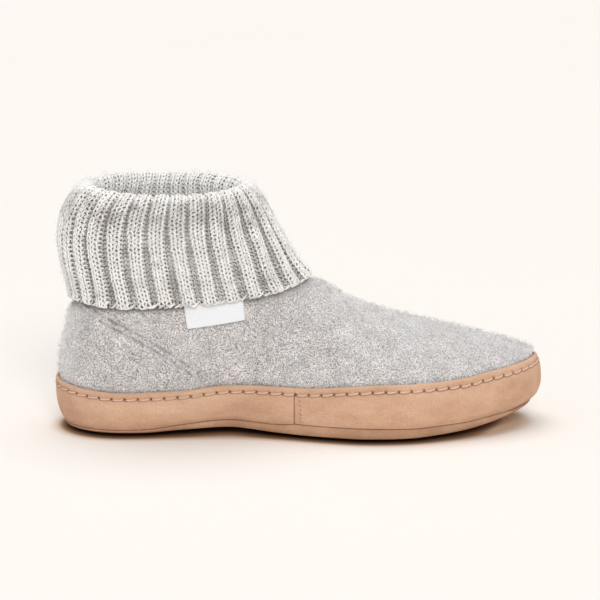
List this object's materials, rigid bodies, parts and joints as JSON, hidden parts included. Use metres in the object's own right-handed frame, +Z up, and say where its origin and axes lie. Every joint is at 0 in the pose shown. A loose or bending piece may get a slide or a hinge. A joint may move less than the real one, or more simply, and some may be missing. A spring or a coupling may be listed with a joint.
{
  "type": "felt slipper boot",
  "caption": "Ankle-high felt slipper boot with a folded ribbed knit cuff, a stitched suede rand and a thin suede sole with arch and toe spring, for wearing indoors.",
  "frame": {"origin": "on the floor under the middle of the whole shoe's box", "axes": "+X from heel to toe, +Y from the outer side of the foot to the inner side, +Z up"},
  "size_m": [0.2714, 0.1, 0.1375],
  "materials": {
    "sole_suede": "napped suede",
    "tan_suede": "napped suede",
    "wool_felt": "boiled wool felt, heathered light grey",
    "rib_knit": "ribbed wool knit, flecked light grey",
    "woven_tag": "bare white woven tape",
    "insole_felt": "wool felt"
  },
  "bodies": {
    "root": {"outsole": "sole_suede", "rand_back": "tan_suede", "rand_front": "tan_suede", "upper": "wool_felt", "cuff": "rib_knit", "label_tag": "woven_tag", "insole": "insole_felt"}
  },
  "joints": []
}
